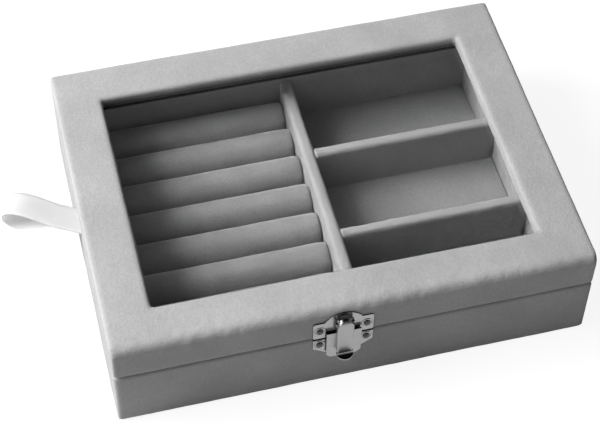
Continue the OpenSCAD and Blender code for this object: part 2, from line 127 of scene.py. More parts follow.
def pick_edges(piece: bpy.types.Object, wanted: EdgeTest) -> None:
    """Enters edit mode with only some edges selected.

    Args:
        piece: The mesh object.
        wanted: Says for an edge's two ends whether it is selected.
    """
    focus(piece)
    bpy.ops.object.mode_set(mode="EDIT")
    bpy.ops.mesh.select_mode(type="EDGE")
    bpy.ops.mesh.select_all(action="DESELECT")
    bpy.ops.object.mode_set(mode="OBJECT")
    points = piece.data.vertices
    for edge in piece.data.edges:
        edge.select = wanted(points[edge.vertices[0]].co, points[edge.vertices[1]].co)
    bpy.ops.object.mode_set(mode="EDIT")


def round_edges(
    piece: bpy.types.Object,
    radius: float,
    wanted: EdgeTest,
    segments: int = 5,
) -> None:
    """Bevels some edges of a piece to a round.

    Args:
        piece: The mesh object.
        radius: Width of the bevel.
        wanted: Says for an edge's two ends whether it is rounded.
        segments: Number of steps in the round.
    """
    pick_edges(piece, wanted)
    bpy.ops.mesh.bevel(offset=radius, segments=segments, affect="EDGES", clamp_overlap=True)
    bpy.ops.object.mode_set(mode="OBJECT")


def finish_with(piece: bpy.types.Object, kind: str, **settings: object) -> None:
    """Adds a modifier to a piece and applies it.

    Args:
        piece: The mesh object.
        kind: Blender's name of the modifier's type.
        **settings: Values of the modifier's properties.
    """
    focus(piece)
    modifier = piece.modifiers.new(kind.title(), kind)
    for key, value in settings.items():
        setattr(modifier, key, value)
    bpy.ops.object.modifier_apply(modifier=modifier.name)


def cut_away(piece: bpy.types.Object, cutter: bpy.types.Object) -> None:
    """Cuts one solid out of another and deletes the cutter.

    Args:
        piece: The mesh that is cut.
        cutter: The mesh whose room is taken out of it.
    """
    finish_with(piece, "BOOLEAN", operation="DIFFERENCE", object=cutter, solver="EXACT")
    bpy.data.objects.remove(cutter)


def ripple(piece: bpy.types.Object, size: float, height: float, where: str = "") -> None:
    """Moves a surface in and out a little, as cloth over board is never quite flat.

    Args:
        piece: The mesh object.
        size: Width of the ripples.
        height: Height from the lowest to the highest ripple.
        where: Vertex group that it is kept to, or nothing for all of the piece.
    """
    clouds = bpy.data.textures.new(f"{piece.name}_ripple", "CLOUDS")
    clouds.noise_scale = size
    clouds.noise_depth = 1
    finish_with(
        piece,
        "DISPLACE",
        texture=clouds,
        texture_coords="LOCAL",
        strength=height,
        vertex_group=where,
    )
    bpy.data.textures.remove(clouds)


def wrap(piece: bpy.types.Object, grid: float, ripples: Ripples = ()) -> None:
    """Draws cloth tight over a shape: its mesh is made even, its edges soft and its faces rippled.

    Args:
        piece: The mesh object.
        grid: Size of the new mesh's faces.
        ripples: Width and height of each set of ripples.
    """
    finish_with(piece, "REMESH", mode="VOXEL", voxel_size=grid)
    finish_with(piece, "SMOOTH", factor=0.5, iterations=2)
    for size, height in ripples:
        ripple(piece, size, height)


def share(value: float) -> float:
    """Keeps a value between 0 and 1."""
    return min(1.0, max(0.0, value))


def level_along(axis: int, place: float, slack: float = 0.05 * MM) -> EdgeTest:
    """A test for edges that lie in a plane.

    Args:
        axis: Axis that the plane is square to.
        place: Place of the plane on that axis.
        slack: How far an end may lie off the plane.

    Returns:
        The test, for use with round_edges.
    """
    return lambda a, b: abs(a[axis] - place) < slack and abs(b[axis] - place) < slack


def is_upright(a: Vector, b: Vector) -> bool:
    """Whether an edge runs straight up."""
    return abs(a.x - b.x) + abs(a.y - b.y) < 1e-6


def show_as(piece: bpy.types.Object, body: Body, slot: Slot, *nodes: str) -> None:
    """Puts a finished piece on its body, in the place of its CAD nodes.

    Args:
        piece: The finished piece.
        body: The body that it moves with.
        slot: The record's material slot; not used.
        *nodes: CAD nodes that the piece stands for.
    """
    focus(piece)
    bpy.ops.object.shade_smooth()
    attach(piece, body.value)
    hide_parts(*nodes)


# Materials


def linear(hex_colour: str) -> tuple[float, float, float, float]:
    """Turns an sRGB hex colour to linear light.

    Args:
        hex_colour: Six hex digits after a hash.

    Returns:
        Red, green, blue and an alpha of 1.
    """
    parts = [int(hex_colour[i : i + 2], 16) / 255 for i in (1, 3, 5)]
    light = [c / 12.92 if c <= 0.04045 else ((c + 0.055) / 1.055) ** 2.4 for c in parts]
    return light[0], light[1], light[2], 1.0


def add_node(
    tree: bpy.types.NodeTree,
    kind: str,
    inputs: dict | None = None,
    **settings: object,
) -> bpy.types.Node:
    """Adds a shader node with its settings and links.

    Args:
        tree: The node tree.
        kind: The node's type, without the word ShaderNode.
        inputs: Values or sockets for the node's inputs, by name or number.
        **settings: Values of the node's properties.

    Returns:
        The new node.
    """
    node = tree.nodes.new(f"ShaderNode{kind}")
    for key, value in settings.items():
        setattr(node, key, value)
    for key, value in (inputs or {}).items():
        if isinstance(value, bpy.types.NodeSocket):
            tree.links.new(value, node.inputs[key])
        else:
            node.inputs[key].default_value = value
    return node


def empty_material(name: str) -> tuple[bpy.types.Material, bpy.types.NodeTree]:
    """Makes a material with no nodes.

    Args:
        name: Name of the material.

    Returns:
        The material and its node tree.
    """
    material = bpy.data.materials.new(name)
    material.use_nodes = True
    material.node_tree.nodes.clear()
    return material, material.node_tree


def paint(piece: bpy.types.Object, material: bpy.types.Material) -> None:
    """Gives a piece or CAD node one material all over.

    Args:
        piece: The object.
        material: Its finish.
    """
    if not piece.material_slots:
        piece.data.materials.append(material)
    for slot in piece.material_slots:
        slot.material = material


@dataclass(frozen=True)
class Velvet:
    """Cotton velvet: a short dense pile that is matt seen straight on and pale at its rims.

    The pile leans to and fro in soft patches. Painted shade darkens it where the mesh marks it, round
    the lid's window, and a painted highlight makes it paler over a board's top. Its tufts are drawn
    about three times as coarse as the real 0.3 mm ones, to show.
    """

    name: str
    upright: str
    leaning: str
    painted_shade: str = "#1e1e1e"
    painted_highlight: str = "#939393"
    patch: float = 26 * MM
    turns: tuple[float, float] = (0.32, 0.68)
    tuft: float = 0.9 * MM
    grain: tuple[float, float] = (0.92, 1.06)
    sheen: float = 0.5

    def make(self) -> bpy.types.Material:
        """Builds the material."""
        material, tree = empty_material(self.name)
        place = add_node(tree, "TexCoord").outputs["Object"]
        patches = add_node(tree, "TexNoise", {"Vector": place, "Scale": 1 / self.patch, "Detail": 3.0})
        tufts = add_node(tree, "TexNoise", {"Vector": place, "Scale": 1 / self.tuft, "Detail": 2.0})
        lean = add_node(
            tree,
            "MapRange",
            {"Value": patches.outputs["Fac"], "From Min": self.turns[0], "From Max": self.turns[1]},
        )
        brushed = add_node(
            tree,
            "Mix",
            {0: lean.outputs["Result"], 6: linear(self.upright), 7: linear(self.leaning)},
            data_type="RGBA",
        )
        grain = add_node(
            tree,
            "MapRange",
            {
                "Value": tufts.outputs["Fac"],
                "From Min": NOISE_LOW,
                "From Max": NOISE_HIGH,
                "To Min": self.grain[0],
                "To Max": self.grain[1],
            },
        )
        grained = add_node(
            tree,
            "VectorMath",
            {0: brushed.outputs[2], "Scale": grain.outputs["Result"]},
            operation="SCALE",
        )
        shaded = grained.outputs["Vector"]
        # Painted shade and painted highlight: a darker and a paler colour mixed in where the mesh marks
        # them.
        for name, colour in ((SHADE_ATTRIBUTE, self.painted_shade), (HIGHLIGHT_ATTRIBUTE, self.painted_highlight)):
            mark = add_node(tree, "Attribute", attribute_name=name, attribute_type="GEOMETRY")
            mixed = add_node(
                tree,
                "Mix",
                {0: mark.outputs["Fac"], 6: shaded, 7: linear(colour)},
                data_type="RGBA",
            )
            shaded = mixed.outputs[2]
        bump = add_node(
            tree,
            "Bump",
            {"Height": tufts.outputs["Fac"], "Strength": 0.55, "Distance": 0.25 * MM},
        )
        shader = add_node(
            tree,
            "BsdfPrincipled",
            {
                "Base Color": shaded,
                "Roughness": 1.0,
                "IOR": 1.45,
                "Specular IOR Level": 0.1,
                "Sheen Weight": self.sheen,
                "Sheen Roughness": 0.4,
                "Normal": bump.outputs["Normal"],
            },
        )
        add_node(tree, "OutputMaterial", {"Surface": shader.outputs["BSDF"]})
        return material


@dataclass(frozen=True)
class StampedNickel:
    """Nickel plate on stamped steel: a soft mirror with faint waves, painted dark on its edges as
    painted shade.

    Faces that look up get painted shade, and those that look to a side as well, by the share in sides.
    """

    name: str = "nickel_plated_steel"
    metal: str = "#9e9e9e"
    edge_shade: str = "#303030"
    clear: float = 0.2
    hazy: float = 0.32
    wave: float = 2.4 * MM
    edge: float = 0.14 * MM
    sides: float = 1.0
    shade_from: float = 0.6
    shade_full: float = 0.9

    def make(self) -> bpy.types.Material:
        """Builds the material."""
        material, tree = empty_material(self.name)
        place = add_node(tree, "TexCoord").outputs["Object"]
        waves = add_node(tree, "TexNoise", {"Vector": place, "Scale": 1 / self.wave, "Detail": 2.0})
        haze = add_node(
            tree,
            "MapRange",
            {
                "Value": waves.outputs["Fac"],
                "From Min": NOISE_LOW,
                "From Max": NOISE_HIGH,
                "To Min": self.clear,
                "To Max": self.hazy,
            },
        )
        facing = add_node(
            tree,
            "VectorTransform",
            {0: add_node(tree, "NewGeometry").outputs["True Normal"]},
            vector_type="NORMAL",
            convert_from="WORLD",
            convert_to="OBJECT",
        )
        parts = add_node(tree, "SeparateXYZ", {0: facing.outputs[0]})
        across = add_node(tree, "Math", {0: parts.outputs["X"]}, operation="ABSOLUTE")
        sides = add_node(tree, "Math", {0: across.outputs[0], 1: self.sides}, operation="MULTIPLY")
        edges = add_node(tree, "Math", {0: parts.outputs["Z"], 1: sides.outputs[0]}, operation="MAXIMUM")
        # Painted shade: faces that look up, and by the share in sides those that look to a side, take
        # the dark edge colour.
        shade_mask = add_node(
            tree,
            "MapRange",
            {"Value": edges.outputs[0], "From Min": self.shade_from, "From Max": self.shade_full},
        )
        plate = add_node(
            tree,
            "Mix",
            {0: shade_mask.outputs["Result"], 6: linear(self.metal), 7: linear(self.edge_shade)},
            data_type="RGBA",
        )
        soft_edge = add_node(tree, "Bevel", {"Radius": self.edge}, samples=6)
        bump = add_node(
            tree,
            "Bump",
            {
                "Height": waves.outputs["Fac"],
                "Strength": 0.3,
                "Distance": 0.12 * MM,
                "Normal": soft_edge.outputs["Normal"],
            },
        )
        shader = add_node(
            tree,
            "BsdfPrincipled",
            {
                "Base Color": plate.outputs[2],
                "Metallic": 1.0,
                "Roughness": haze.outputs["Result"],
                "Normal": bump.outputs["Normal"],
            },
        )
        add_node(tree, "OutputMaterial", {"Surface": shader.outputs["BSDF"]})
        return material


@dataclass(frozen=True)
class PaneGlass:
    """Clear float glass, with the faint haze of a wiped pane. Lamps shine through it."""

    name: str = "float_glass"
    tint: str = "#fbfbfb"
    smear: float = 45 * MM
    haze: float = 0.02

    def make(self) -> bpy.types.Material:
        """Builds the material."""
        material, tree = empty_material(self.name)
        place = add_node(tree, "TexCoord").outputs["Object"]
        smears = add_node(tree, "TexNoise", {"Vector": place, "Scale": 1 / self.smear, "Detail": 4.0})
        haze = add_node(
            tree,
            "MapRange",
            {
                "Value": smears.outputs["Fac"],
                "From Min": 0.4,
                "From Max": NOISE_HIGH,
                "To Min": 0.0,
                "To Max": self.haze,
            },
        )
        glass = add_node(
            tree,
            "BsdfPrincipled",
            {
                "Base Color": linear(self.tint),
                "Roughness": haze.outputs["Result"],
                "IOR": 1.52,
                "Transmission Weight": 1.0,
            },
        )
        clear = add_node(tree, "BsdfTransparent")
        path = add_node(tree, "LightPath")
        surface = add_node(
            tree,
            "MixShader",
            {0: path.outputs["Is Shadow Ray"], 1: glass.outputs["BSDF"], 2: clear.outputs["BSDF"]},
        )
        add_node(tree, "OutputMaterial", {"Surface": surface.outputs["Shader"]})
        return material


@dataclass(frozen=True)
class Satin:
    """Polyester satin ribbon: smooth floats along its length and a corded edge on each side.

    Its cross threads are drawn 0.5 mm apart, about twice as coarse as real ones.
    """

    name: str = "satin_ribbon"
    thread: str = "#efefef"
    shade: str = "#e8e8e8"
    pitch: float = 0.5 * MM
    streak: float = 3.125 * MM
    gloss: tuple[float, float] = (0.34, 0.5)

    def make(self) -> bpy.types.Material:
        """Builds the material, which follows the ribbon's own UV map, in metres."""
        material, tree = empty_material(self.name)
        place = add_node(tree, "UVMap", uv_map="UVMap").outputs["UV"]
        ribs = add_node(
            tree,
            "TexWave",
            {
                "Vector": place,
                "Scale": math.tau / (WAVE_BANDS * self.pitch),
                "Distortion": 0.6,
                "Detail": 1.0,
            },
            bands_direction="Y",
        )
        streaks = add_node(tree, "TexNoise", {"Vector": place, "Scale": 1 / self.streak, "Detail": 2.0})
        tone = add_node(
            tree,
            "Mix",
            {0: ribs.outputs["Fac"], 6: linear(self.shade), 7: linear(self.thread)},
            data_type="RGBA",
        )
        gloss = add_node(
            tree,
            "MapRange",
            {
                "Value": streaks.outputs["Fac"],
                "From Min": NOISE_LOW,
                "From Max": NOISE_HIGH,
                "To Min": self.gloss[0],
                "To Max": self.gloss[1],
            },
        )
        bump = add_node(
            tree,
            "Bump",
            {"Height": ribs.outputs["Fac"], "Strength": 0.12, "Distance": 0.03 * MM},
        )
        shader = add_node(
            tree,
            "BsdfPrincipled",
            {
                "Base Color": tone.outputs[2],
                "Roughness": gloss.outputs["Result"],
                "IOR": 1.5,
                "Subsurface Weight": 0.8,
                "Subsurface Radius": (1.0, 1.0, 1.0),
                "Subsurface Scale": 1.6 * MM,
                "Sheen Weight": 0.2,
                "Sheen Roughness": 0.3,
                "Normal": bump.outputs["Normal"],
            },
        )
        add_node(tree, "OutputMaterial", {"Surface": shader.outputs["BSDF"]})
        return material


@dataclass(frozen=True)
class Finishes:
    """The finishes that the pieces share."""

    outer: bpy.types.Material
    lining: bpy.types.Material
    rolls: bpy.types.Material
    nickel: bpy.types.Material
    tongue: bpy.types.Material
    nails: bpy.types.Material
    glass: bpy.types.Material
    satin: bpy.types.Material

    @classmethod
    def make(cls) -> "Finishes":
        """Builds every finish."""
        return cls(
            outer=Velvet("outer_velvet", "#c0c0c0", "#b4b4b4").make(),
            # The lining and the rolls are painted darker than the outer velvet: painted shade for the
            # dimmer light inside the box.
            lining=Velvet("lining_velvet", "#898989", "#7f7f7f").make(),
            rolls=Velvet("roll_velvet", "#868686", "#7a7a7a", patch=14 * MM).make(),
            nickel=StampedNickel().make(),
            # The tongue gets painted shade only on faces that look nearly straight up.
            tongue=StampedNickel(
                "worn_nickel_painted_shade", clear=0.3, hazy=0.4, sides=0.0, shade_from=0.86, shade_full=0.97
            ).make(),
            # The nails are painted dark nickel: painted shade and a painted dark reflection in their
            # heads.
            nails=StampedNickel("nail_nickel_painted_shade", metal="#444444").make(),
            glass=PaneGlass().make(),
            satin=Satin().make(),
        )


# Sub-assemblies


@dataclass
class BaseShell:
    """The wrapped wall ring of the base and the board let in under it."""

    wall: float = 5 * MM
    corner: float = 1.4 * MM
    rim: float = 0.8 * MM
    grid: float = 0.95 * MM
    ripples: Ripples = ((22 * MM, 0.3 * MM), (5 * MM, 0.12 * MM))

    def build(self, finishes: Finishes) -> None:
        """Builds and dresses the base's outer pieces.

        Args:
            finishes: The shared finishes.
        """
        low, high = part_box("base_walls")
        ring = add_block("BaseWalls", low, high)
        foot = level_along(2, low.z)
        round_edges(ring, self.corner, lambda a, b: is_upright(a, b) or foot(a, b))
        inner = Vector((self.wall, self.wall, 0))
        past = Vector((0, 0, MM))
        cut_away(ring, add_block("BaseHollow", low + inner - past, high - inner + past))
        round_edges(ring, self.rim, level_along(2, high.z), segments=3)
        wrap(ring, self.grid, self.ripples)
        for vertex in ring.data.vertices:
            vertex.co.z = max(vertex.co.z, low.z)
        show_as(ring, Body.BASE, Slot.OUTER_VELVET, "base_walls")
        paint(ring, finishes.outer)
        paint(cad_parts["bottom_board"], finishes.outer)
        log.info("base shell: %s", ring.name)


@dataclass
class Lid:
    """The wrapped lid frame with its window, the pane and the lining frame that holds it."""

    wall: float = 5 * MM
    edge: float = 1.4 * MM
    front_edge: float = 4 * MM
    panel: float = 5 * MM
    window: tuple[float, float] = (80 * MM, 56 * MM)
    window_edge: float = 1.6 * MM
    # The cloth is pressed down where its end lies on the glass: by how much, how far out from
    # the window, and between which parts of the panel's depth.
    press: float = 0.3 * MM
    press_out: float = 3.5 * MM
    press_depth: tuple[float, float] = (0.75, 1.3)
    # Shade is painted on the reveal as darker cloth: its reach, and for the back and the other sides how
    # much, and the parts of the depth where that starts and is full.
    reveal_shade_reach: float = 1.8 * MM
    back_reveal_shade: tuple[float, float, float] = (1.0, 0.1, 0.94)
    side_reveal_shade: tuple[float, float, float] = (0.35, 0.0, 0.25)
    # Painted shade on the lining frame's back inner face, under the back reveal.
    lining_reveal_shade: float = 0.95
    set_back: tuple[float, float] = (1.7 * MM, 0.7 * MM)
    grid: float = 0.85 * MM
    ripples: Ripples = ((24 * MM, 0.3 * MM), (5 * MM, 0.12 * MM))
    puckers: tuple[float, float] = (5 * MM, 0.45 * MM)
    pucker_reach: float = 8.8 * MM
    clear: float = 0.1 * MM
    lining_edge: float = 0.3 * MM

    def build(self, finishes: Finishes) -> None:
        """Builds and dresses the lid's pieces.

        Args:
            finishes: The shared finishes.
        """
        low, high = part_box("lid_frame")
        shell = add_block("LidFrame", low, high)
        round_edges(shell, self.front_edge, self.is_front_top(low, high), segments=8)
        round_edges(shell, self.edge, self.is_side_edge(low, high), segments=5)
        inner = Vector((self.wall, self.wall, 0))
        ceiling = Vector((high.x - self.wall, high.y - self.wall, high.z - self.panel))
        cut_away(shell, add_block("LidHollow", low + inner - Vector((0, 0, MM)), ceiling))
        half = Vector((*self.window, 0))
        opening = add_block("Window", -half + Vector((0, 0, low.z)), half + Vector((0, 0, high.z + MM)))
        cut_away(shell, opening)
        round_edges(shell, self.window_edge, self.is_window_edge(high.z), segments=4)
        wrap(shell, self.grid, self.ripples)
        self.crease_front(shell, low, high)
        self.shade_reveal_and_press(shell, high.z)
        show_as(shell, Body.LID, Slot.OUTER_VELVET, "lid_frame")
        paint(shell, finishes.outer)
        self.retainer(finishes.lining)
        paint(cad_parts["glass_pane"], finishes.glass)
        log.info("lid: %s", shell.name)

    def is_front_top(self, low: Vector, high: Vector) -> EdgeTest:
        """A test for the lid's top edge at the front.

        Args:
            low: The lid's lowest corner.
            high: Its highest corner.

        Returns:
            The test, for use with round_edges.
        """
        front, top = level_along(1, low.y), level_along(2, high.z)
        return lambda a, b: front(a, b) and top(a, b)

    def is_side_edge(self, low: Vector, high: Vector) -> EdgeTest:
        """A test for the upright edges and the top edges at the sides and the back.

        Args:
            low: The lid's lowest corner.
            high: Its highest corner.

        Returns:
            The test, for use with round_edges.
        """
        left, right = level_along(0, low.x), level_along(0, high.x)
        back, top, rim = level_along(1, high.y), level_along(2, high.z), level_along(2, low.z)

        def wanted(a: Vector, b: Vector) -> bool:
            """Whether the edge bounds a side or is the back's top edge."""
            at_side = (left(a, b) or right(a, b)) and not rim(a, b)
            return at_side or (back(a, b) and top(a, b))

        return wanted

    def is_window_edge(self, top: float) -> EdgeTest:
        """A test for the edges round the window's top.

        Args:
            top: Height of the lid's top face.

        Returns:
            The test, for use with round_edges.
        """
        reach = Vector(self.window) * 1.001

        def wanted(a: Vector, b: Vector) -> bool:
            """Whether both ends lie on the top face at the window."""
            level = abs(a.z - top) < 1e-5 and abs(b.z - top) < 1e-5
            return level and all(abs(p.x) < reach.x and abs(p.y) < reach.y for p in (a, b))

        return wanted

    def crease_front(self, shell: bpy.types.Object, low: Vector, high: Vector) -> None:
        """Puckers the cloth a little where it is pulled over the front edge.

        Args:
            shell: The lid frame's mesh.
            low: The lid's lowest corner.
            high: Its highest corner.
        """
        edge = shell.vertex_groups.new(name="front_edge")
        for vertex in shell.data.vertices:
            back = (vertex.co.y - low.y) / self.pucker_reach
            down = (high.z - vertex.co.z) / self.pucker_reach
            weight = max(0.0, 1 - max(back, down))
            if weight > 0:
                edge.add([vertex.index], weight, "REPLACE")
        ripple(shell, *self.puckers, where=edge.name)
        shell.vertex_groups.clear()

    def shade_reveal_and_press(self, shell: bpy.types.Object, top: float) -> None:
        """Paints shade on the cloth round the window, most at the back, and presses its end on the
        glass.

        Args:
            shell: The lid frame's mesh.
            top: Height of the lid's top face.
        """
        marks = shell.data.attributes.new(SHADE_ATTRIBUTE, "FLOAT", "POINT").data
        wide, deep = self.window
        for vertex, mark in zip(shell.data.vertices, marks):
            x, y, z = vertex.co
            out = max(abs(x) - wide, abs(y) - deep)
            depth = (top - z) / self.panel
            # Painted shade: the reveal's cloth is painted darker, most at the back, for the shade that
            # falls there.
            if out < self.reveal_shade_reach:
                most, start, full = self.back_reveal_shade if y > deep - MM else self.side_reveal_shade
                mark.value = most * share((depth - start) / (full - start))
            if out < self.press_out and self.press_depth[0] < depth < self.press_depth[1]:
                vertex.co.z -= self.press

    def retainer(self, finish: bpy.types.Material) -> None:
        """Builds the lining frame under the pane, its opening set back from the window's edge.

        Args:
            finish: Its velvet.
        """
        low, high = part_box("pane_retainer")
        pane_low, pane_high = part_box("glass_pane")
        ring = add_block("PaneRetainer", low, high)
        gap, past = Vector((self.clear, self.clear, 0)), Vector((0, 0, MM))
        cut_away(ring, add_block("PaneSeat", pane_low - gap, pane_high + gap + past))
        half = Vector((*self.window, 0)) + Vector((*self.set_back, 0))
        foot, seat = Vector((0, 0, low.z)), Vector((0, 0, pane_low.z))
        cut_away(ring, add_block("RetainerOpening", foot - half - past, seat + half + past))
        # Painted shade: the back inner face is painted dark, for the shade under the back reveal.
        marks = ring.data.attributes.new(SHADE_ATTRIBUTE, "FLOAT", "FACE").data
        for face, mark in zip(ring.data.polygons, marks):
            at_back = abs(face.center.y - half.y) < self.clear and face.normal.y < -0.9
            mark.value = self.lining_reveal_shade if at_back else 0.0
        finish_with(ring, "BEVEL", width=self.lining_edge, segments=2, limit_method="ANGLE")
        show_as(ring, Body.LID, Slot.LINING_VELVET, "pane_retainer")
        paint(ring, finish)


@dataclass
class Tray:
    """The wrapped boards inside the base: liners, dividers, floor cards and the rolls' bed."""

    boards: tuple[str, ...] = (
        "front_liner",
        "back_liner",
        "left_liner",
        "right_liner",
        "long_divider",
        "rear_cross_divider",
        "front_cross_divider",
    )
    cards: tuple[str, ...] = ("rear_bay_card", "middle_bay_card", "front_bay_card", "roll_bed")
    grid: float = 1.0 * MM
    card_grid: float = 0.8 * MM
    ripples: Ripples = ((16 * MM, 0.3 * MM), (5 * MM, 0.4 * MM))
    card_ripple: tuple[float, float] = (14 * MM, 0.25 * MM)
    top_round: float = 0.3
    # A painted highlight makes a board's top paler: how much, from how far down and over what depth, and
    # the lengths at a cross divider's left end where it is absent and where it comes in.
    highlight_most: float = 0.8
    highlight_from: float = 0.3 * MM
    highlight_depth: float = 2.6 * MM
    end_plain: float = 1 * MM
    end_fade: float = 3 * MM
    pad: float = 1.3 * MM
    lap: float = 0.9 * MM
    snug: float = 0.3 * MM
    clear: float = 0.1 * MM

    def build(self, finishes: Finishes) -> None:
        """Builds and dresses the boards.

        Args:
            finishes: The shared finishes.
        """
        for name in self.boards:
            self.board(name, finishes.lining)
        for name in self.cards:
            self.card(name, finishes.lining)
        log.info("tray: %d boards, %d cards", len(self.boards), len(self.cards))

    def board(self, name: str, finish: bpy.types.Material) -> None:
        """Builds a board that stands on edge, with cloth pulled round over its top.

        Args:
            name: The CAD node.
            finish: Its velvet.
        """
        low, high = self.room(name)
        thick = min(high.x - low.x, high.y - low.y)
        block = add_block(name.title().replace("_", ""), low, high)
        round_edges(block, self.top_round * thick, self.is_long_top(low, high), segments=5)
        wrap(block, self.grid, self.ripples)
        # Painted highlight: each board's top is painted paler, for the light that it catches.
        marks = block.data.attributes.new(HIGHLIGHT_ATTRIBUTE, "FLOAT", "POINT").data
        for vertex, mark in zip(block.data.vertices, marks):
            down = high.z - vertex.co.z - self.highlight_from
            mark.value = self.highlight_most * share(1 - down / self.highlight_depth)
            if "cross" in name:
                mark.value *= share((vertex.co.x - low.x - self.end_plain) / self.end_fade)
        show_as(block, Body.BASE, Slot.LINING_VELVET, name)
        paint(block, finish)

    def card(self, name: str, finish: bpy.types.Material) -> None:
        """Builds a floor card, its cloth slightly rippled.

        Args:
            name: The CAD node.
            finish: Its velvet.
        """
        low, high = self.room(name)
        block = add_block(name.title().replace("_", ""), low, high)
        finish_with(block, "REMESH", mode="VOXEL", voxel_size=self.card_grid)
        ripple(block, *self.card_ripple)
        show_as(block, Body.BASE, Slot.LINING_VELVET, name)
        paint(block, finish)

    def room(self, name: str) -> tuple[Vector, Vector]:
        """A piece's corners, with room made for the cloth.

        The right liner's face is padded and the cross dividers' cloth is lapped in front. Their
        neighbours are cut to them, and the cards are pressed into the cloth round them.

        Args:
            name: The CAD node.

        Returns:
            Lowest and highest corner.
        """
        low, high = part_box(name)
        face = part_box("right_liner")[0].x - self.pad
        if name == "right_liner":
            low.x = face
        elif "cross" in name or "bay" in name:
            high.x = min(high.x, face - self.clear)
        if "cross" in name:
            low -= Vector((self.snug, self.lap, 0))
        elif name in ("middle_bay_card", "front_bay_card"):
            high.y -= self.lap
        if name in self.cards:
            pressed = Vector((self.snug, self.snug, 0))
            low, high = low - pressed, high + pressed
        return low, high

    def is_long_top(self, low: Vector, high: Vector) -> EdgeTest:
        """A test for the two long edges on top of a board.

        Args:
            low: The board's lowest corner.
            high: Its highest corner.

        Returns:
            The test, for use with round_edges.
        """
        long_way = 0 if high.x - low.x > high.y - low.y else 1
        length = high[long_way] - low[long_way]
        on_top = level_along(2, high.z)
        return lambda a, b: on_top(a, b) and abs(a[long_way] - b[long_way]) > 0.9 * length


@dataclass
class RingRolls:
    """Eight foam bars in velvet, side by side; each swells against the next."""

    count: int = 8
    grid: float = 2.0 * MM
    shrink: float = 0.45 * MM
    past_end: float = 1.2 * MM
    cap: float = 0.9 * MM
    frames: int = 20
    pressure: float = 6.0
    fill: float = 0.85
    crown_round: float = 0.97
    end_round: float = 1.5 * MM
    cover_ripple: tuple[float, float] = (9 * MM, 0.35 * MM)

    def build(self, finishes: Finishes) -> None:
        """Builds one roll and copies it to every place.

        Args:
            finishes: The shared finishes.
        """
        low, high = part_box("ring_roll_1")
        first = self.bare_roll(low, high)
        self.swell(first, low.z)
        finish_with(first, "SUBSURF", levels=1, render_levels=1)
        self.keep_inside(first, low, high)
        rest = first.data.copy()
        for place in range(1, self.count + 1):
            node = f"ring_roll_{place}"
            roll = first if place == 1 else bpy.data.objects.new("", rest.copy())
            if place > 1:
                bpy.context.scene.collection.objects.link(roll)
                roll.data.transform(Matrix.Translation(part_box(node)[0] - low))
            roll.name = roll.data.name = f"RingRoll{place}"
            ripple(roll, *self.cover_ripple)
            self.keep_inside(roll, *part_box(node))
            show_as(roll, Body.BASE, Slot.ROLL_VELVET, node)
            paint(roll, finishes.rolls)
        bpy.data.meshes.remove(rest)
        log.info("ring rolls: %d", self.count)

    def bare_roll(self, low: Vector, high: Vector) -> bpy.types.Object:
        """Builds the foam bar before its cover is filled.

        Args:
            low: Lowest corner of the CAD roll.
            high: Its highest corner.

        Returns:
            The closed mesh of a bar with a round top and turned-in ends.
        """
        inset = Vector((-self.past_end, self.shrink, 0))
        top = high - inset - Vector((0, 0, self.shrink))
        roll = add_block("RingRoll1", low + inset, top)
        half = (top.y - low.y - self.shrink) / 2
        round_edges(roll, self.crown_round * half, self.is_crown(low, top), segments=10)
        round_edges(roll, self.end_round, self.is_end(low + inset, top), segments=4)
        wrap(roll, self.grid)
        return roll

    def is_crown(self, low: Vector, high: Vector) -> EdgeTest:
        """A test for the two long edges on top of the bar.

        Args:
            low: The bar's lowest corner.
            high: Its highest corner.

        Returns:
            The test, for use with round_edges.
        """
        on_top = level_along(2, high.z)
        return lambda a, b: on_top(a, b) and abs(a.x - b.x) > 0.5 * (high.x - low.x)

    def is_end(self, low: Vector, high: Vector) -> EdgeTest:
        """A test for the edges round the bar's two ends, above its seat.

        Args:
            low: The bar's lowest corner.
            high: Its highest corner.

        Returns:
            The test, for use with round_edges.
        """

        def wanted(a: Vector, b: Vector) -> bool:
            """Whether both ends lie on an end face and above the seat."""
            left, right = level_along(0, low.x)(a, b), level_along(0, high.x)(a, b)
            return (left or right) and max(a.z, b.z) > low.z + MM

        return wanted

    def swell(self, roll: bpy.types.Object, seat: float) -> None:
        """Fills the cover by cloth simulation, with its underside held on the bed.

        Args:
            roll: The bar's mesh.
            seat: Height of the bed's face.
        """
        bare = [v.co.copy() for v in roll.data.vertices]
        held = roll.vertex_groups.new(name="held")
        held.add([i for i, p in enumerate(bare) if p.z < seat + MM], 1.0, "REPLACE")
        cloth = roll.modifiers.new("Cloth", "CLOTH")
        cloth.settings.vertex_group_mass = held.name
        cloth.settings.use_pressure = True
        cloth.settings.uniform_pressure_force = self.pressure
        cloth.settings.effector_weights.gravity = 0.0
        cloth.point_cache.frame_end = self.frames
        for step in range(1, self.frames + 1):
            bpy.context.scene.frame_set(step)
        graph = bpy.context.evaluated_depsgraph_get()
        full = [v.co.copy() for v in roll.evaluated_get(graph).data.vertices]
        roll.modifiers.remove(cloth)
        roll.vertex_groups.remove(held)
        bpy.context.scene.frame_set(1)
        for vertex, start, end in zip(roll.data.vertices, bare, full):
            move = end - start
            vertex.co = start + move * min(1.0, self.cap / max(move.length, 1e-9))
        log.info("roll swells by up to %.2f mm", max((b - a).length for a, b in zip(bare, full)) / MM)

    def keep_inside(self, roll: bpy.types.Object, low: Vector, high: Vector) -> None:
        """Flattens a roll where it meets its neighbours, the dividers and its bed.

        Args:
            roll: The roll's mesh.
            low: Lowest corner of its CAD solid.
            high: Its highest corner.
        """
        for vertex in roll.data.vertices:
            vertex.co = Vector(min(max(c, a), b) for c, a, b in zip(vertex.co, low, high))


